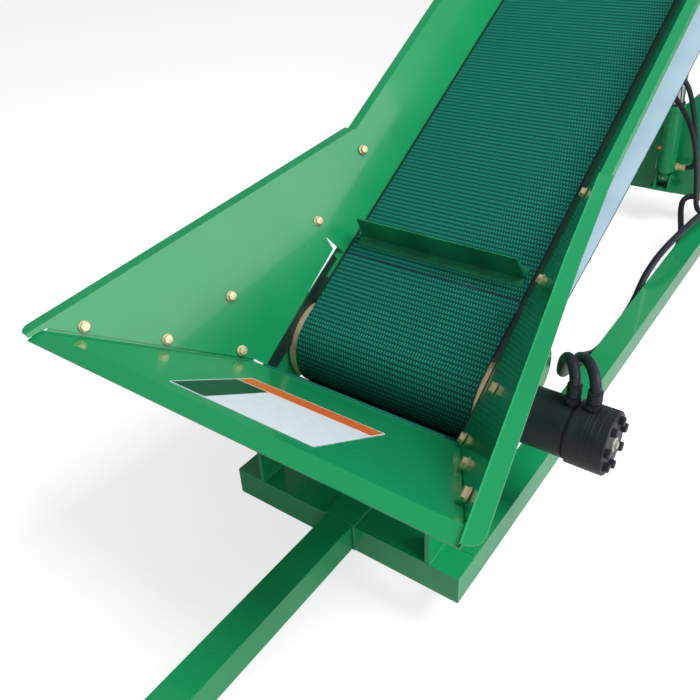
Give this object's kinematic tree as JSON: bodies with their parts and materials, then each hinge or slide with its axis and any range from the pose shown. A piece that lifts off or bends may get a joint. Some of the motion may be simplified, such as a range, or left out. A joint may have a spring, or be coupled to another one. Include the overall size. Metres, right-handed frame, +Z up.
{
  "type": "firewood conveyor",
  "caption": "Wheeled hydraulic firewood conveyor: inclined cleated belt in a flared trough with a loading hopper, on a drawbar frame with a telescopic lift.",
  "frame": {"origin": "on the ground, at the centre of the machine's bounding box", "axes": "+Z up, +Y from the hopper towards the delivery end, +X to the drive motor's side"},
  "size_m": [1.0846, 5.6276, 3.0583],
  "materials": {
    "green_paint": "gloss",
    "belt": "ribbed matt",
    "tyre": "matt",
    "rim_paint": "semi-gloss",
    "zinc": "yellow zinc",
    "galvanised": "satin",
    "chrome": "polished",
    "cast_black": "matt",
    "motor_black": "satin black",
    "hose": "satin"
  },
  "bodies": {
    "chassis": {"front_crossbar": "green_paint", "drawbar_sleeve": "green_paint", "drawbar": "green_paint", "side_tube_left": "green_paint", "side_tube_right": "green_paint", "rear_beam": "green_paint", "upright_left": "green_paint", "upright_right": "green_paint", "tow_eye": "green_paint", "parking_jack": "zinc", "stub_axle_left": "green_paint", "stub_axle_right": "green_paint", "lift_foot": "green_paint", "cradle_post_left": "green_paint", "cradle_post_right": "green_paint", "control_valve": "cast_black", "hose_pressure_frame": "hose", "hose_return_frame": "hose", "hose_lift_frame": "hose"},
    "jack_leg": {"jack_leg": "zinc"},
    "wheel_left": {"rim_left": "rim_paint", "tyre_left": "tyre"},
    "wheel_right": {"rim_right": "rim_paint", "tyre_right": "tyre"},
    "boom": {"side_plate_left": "green_paint", "side_plate_right": "green_paint", "pivot_pins": "zinc", "frame_rail_left": "green_paint", "frame_rail_right": "green_paint", "cross_members": "green_paint", "slider_bed": "galvanised", "trough_wall_left": "green_paint", "trough_wall_right": "green_paint", "hopper_wing_left": "green_paint", "hopper_wing_right": "green_paint", "hopper_floor": "green_paint", "drive_drum": "zinc", "head_drum": "zinc", "head_plate_left": "green_paint", "head_plate_right": "green_paint", "drum_bearings": "cast_black", "conveyor_belt": "belt", "motor_housing": "motor_black", "motor_end_cap": "motor_black", "lift_saddle": "green_paint", "hose_pressure_boom": "hose", "hose_return_boom": "hose"},
    "lift_barrel": {"lift_barrel": "green_paint", "hose_lift_barrel": "hose"},
    "lift_stage_one": {"lift_stage_one": "chrome"},
    "lift_stage_two": {"lift_stage_two": "chrome"},
    "lift_rod": {"lift_rod": "chrome"}
  },
  "joints": [
    {"name": "wheel_left_spin", "type": "hinge", "parent": "chassis", "child": "wheel_left", "pos_m": [-0.425, 1.06619, 0.203], "axis": [1, 0, 0], "continuous": true},
    {"name": "wheel_right_spin", "type": "hinge", "parent": "chassis", "child": "wheel_right", "pos_m": [0.425, 1.06619, 0.203], "axis": [1, 0, 0], "continuous": true},
    {"name": "boom_tilt", "type": "hinge", "parent": "chassis", "child": "boom", "pos_m": [0, -1.62381, 0.453], "axis": [1, 0, 0], "range_deg": [-10, 4]},
    {"name": "lift_foot_pivot", "type": "hinge", "parent": "chassis", "child": "lift_barrel", "pos_m": [0, 0.97619, 0.258], "axis": [1, 0, 0], "range_deg": [-5.02, 2.02]},
    {"name": "lift_slide_one", "type": "slide", "parent": "lift_barrel", "child": "lift_stage_one", "axis": [0, -0.1104, 0.9939], "range_m": [-0.1502, 0.0604]},
    {"name": "lift_slide_two", "type": "slide", "parent": "lift_stage_one", "child": "lift_stage_two", "axis": [0, -0.1104, 0.9939], "range_m": [-0.1502, 0.0604]},
    {"name": "lift_slide_rod", "type": "slide", "parent": "lift_stage_two", "child": "lift_rod", "axis": [0, -0.1104, 0.9939], "range_m": [-0.1502, 0.0604]},
    {"name": "jack_slide", "type": "slide", "parent": "chassis", "child": "jack_leg", "axis": [0, 0, 1], "range_m": [0, 0.15]}
  ],
  "couplings": [
    {"joint": "lift_foot_pivot", "follows": "boom_tilt", "ratio": 0.5},
    {"joint": "lift_slide_one", "follows": "boom_tilt", "m_per_rad": 0.85753},
    {"joint": "lift_slide_two", "follows": "boom_tilt", "m_per_rad": 0.85753},
    {"joint": "lift_slide_rod", "follows": "boom_tilt", "m_per_rad": 0.85753}
  ]
}
